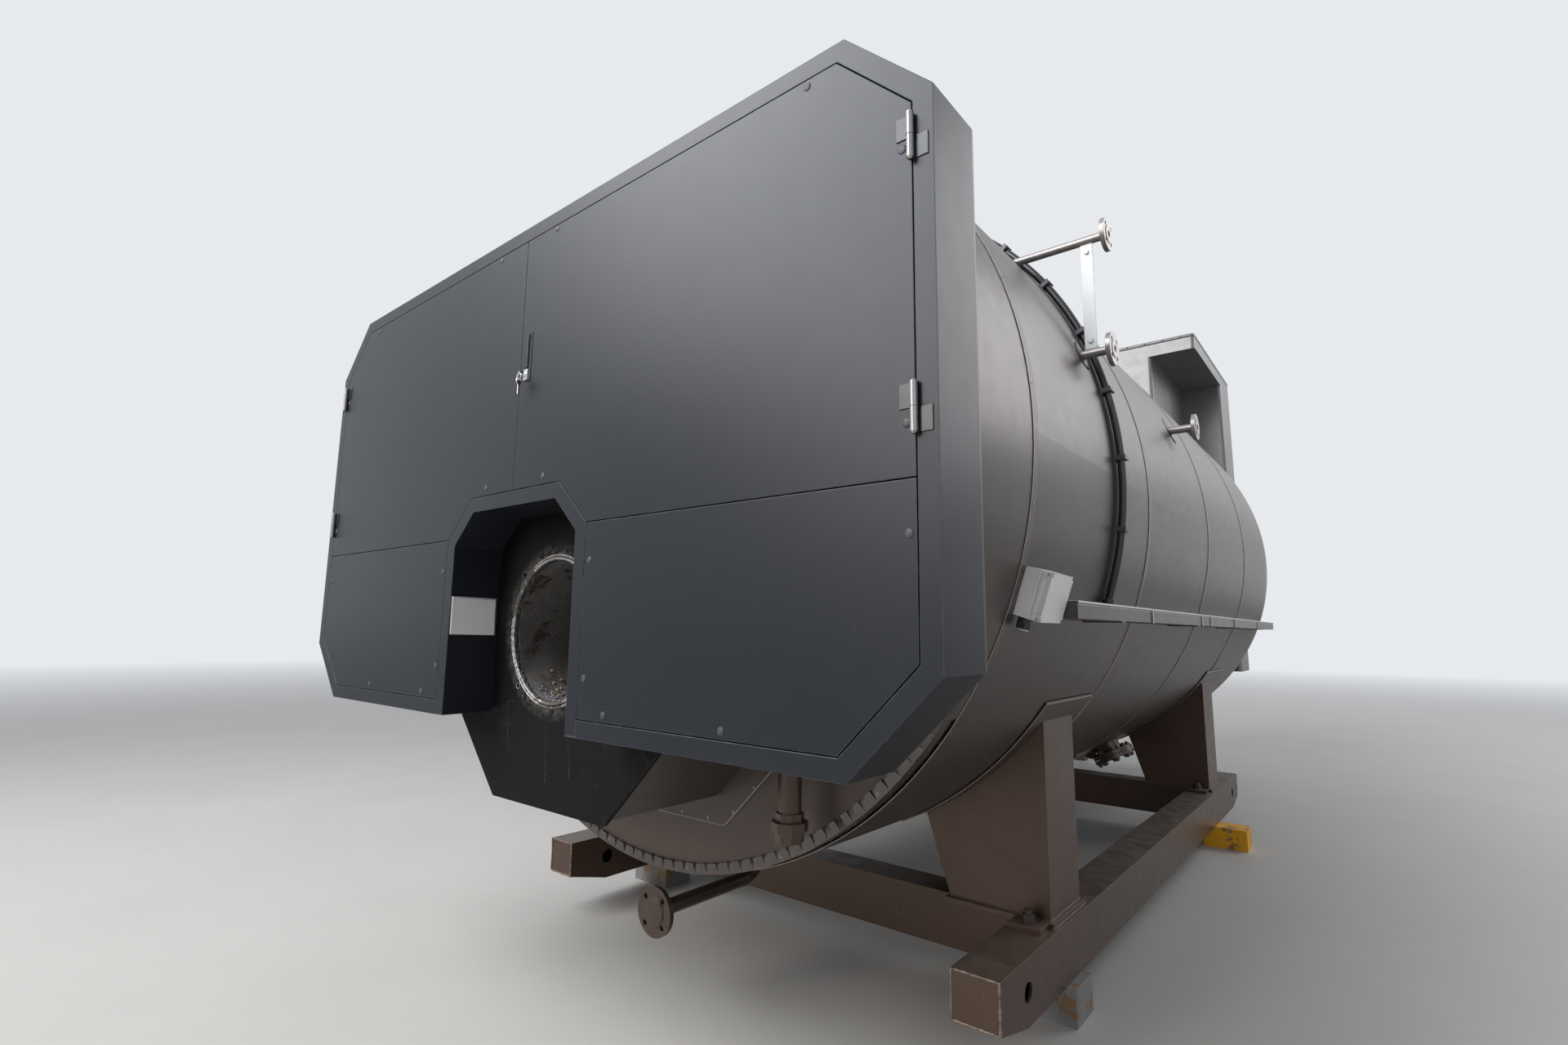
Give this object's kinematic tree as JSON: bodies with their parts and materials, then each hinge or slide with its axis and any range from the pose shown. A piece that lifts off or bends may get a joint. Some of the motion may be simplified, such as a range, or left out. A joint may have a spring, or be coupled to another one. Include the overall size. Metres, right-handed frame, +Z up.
{
  "type": "industrial fire-tube steam boiler",
  "caption": "Horizontal fire-tube steam boiler: clad shell on skid rails, octagonal front casing with hinged doors and a burner notch, and a rear economizer.",
  "frame": {"origin": "on the ground, in the middle of the whole length and width, under the packing blocks", "axes": "+X to the right as seen from the burner end, +Y to the rear along the shell, +Z up"},
  "size_m": [2.6, 6.615, 3.581],
  "materials": {
    "skid_paint": "satin brown grey paint",
    "packing_block": "worn grey paint on steel blocks",
    "bolt_steel": "dull steel",
    "cladding_sheet": "satin taupe coated sheet",
    "band_sheet": "grey coated sheet",
    "end_plate_paint": "dark taupe coated sheet",
    "drum_steel": "plain plate with mill scale",
    "mineral_wool": "fibrous",
    "black_plate": "matt black with scratches",
    "refractory": "rough castable lining",
    "casing_paint": "fine textured charcoal powder coat",
    "lock_chrome": "polished lock on a black recess",
    "pipe_steel": "bare and primed steel",
    "grey_plastic": "light grey box",
    "conduit_black": "ribbed black hose",
    "economizer_sheet": "light grey coated sheet"
  },
  "bodies": {
    "boiler": {"right_rail": "skid_paint", "left_rail": "skid_paint", "cross_beams": "skid_paint", "support_blocks": "packing_block", "front_right_saddle": "skid_paint", "front_left_saddle": "skid_paint", "rear_right_saddle": "skid_paint", "rear_left_saddle": "skid_paint", "saddle_bolts": "bolt_steel", "saddle_flashings": "cladding_sheet", "pressure_shell": "drum_steel", "furnace_tube": "drum_steel", "lagging": "mineral_wool", "front_cladding": "cladding_sheet", "middle_cladding": "cladding_sheet", "rear_cladding": "cladding_sheet", "front_band": "band_sheet", "rear_band": "band_sheet", "front_end_plate": "end_plate_paint", "rear_end_plate": "end_plate_paint", "smoke_box": "cladding_sheet", "burner_plate": "black_plate", "burner_throat": "refractory", "smoke_box_skirt": "cladding_sheet", "front_fairing": "cladding_sheet", "fairing_back_plate": "cladding_sheet", "casing_frame": "casing_paint", "notch_liner": "casing_paint", "casing_rails": "casing_paint", "right_lower_panel": "casing_paint", "left_lower_panel": "casing_paint", "hinge_pins": "casing_paint", "drain_pipes": "skid_paint", "front_blowdown": "pipe_steel", "rear_blowdown": "pipe_steel", "hand_hole": "pipe_steel", "right_gauge_nozzles": "pipe_steel", "left_gauge_nozzles": "pipe_steel", "side_nozzle": "pipe_steel", "steam_outlet": "pipe_steel", "safety_valve_nozzles": "pipe_steel", "manhole": "skid_paint", "lifting_lugs": "skid_paint", "cable_tray": "cladding_sheet", "junction_box": "grey_plastic", "conduit": "conduit_black", "conduit_clips": "conduit_black", "rear_smoke_box": "cladding_sheet", "economizer": "economizer_sheet", "economizer_legs": "skid_paint", "flue_outlet": "economizer_sheet"},
    "right_door": {"right_door": "casing_paint", "door_handle": "lock_chrome", "right_door_hinges": "casing_paint"},
    "left_door": {"left_door": "casing_paint", "left_door_hinges": "casing_paint"}
  },
  "joints": [
    {"name": "right_door_hinge", "type": "hinge", "parent": "boiler", "child": "right_door", "pos_m": [1.2575, -3.3005, 1.81], "axis": [0, 0, 1], "range_deg": [0, 110]},
    {"name": "left_door_hinge", "type": "hinge", "parent": "boiler", "child": "left_door", "pos_m": [-1.2575, -3.3005, 1.81], "axis": [0, 0, -1], "range_deg": [0, 110]}
  ]
}
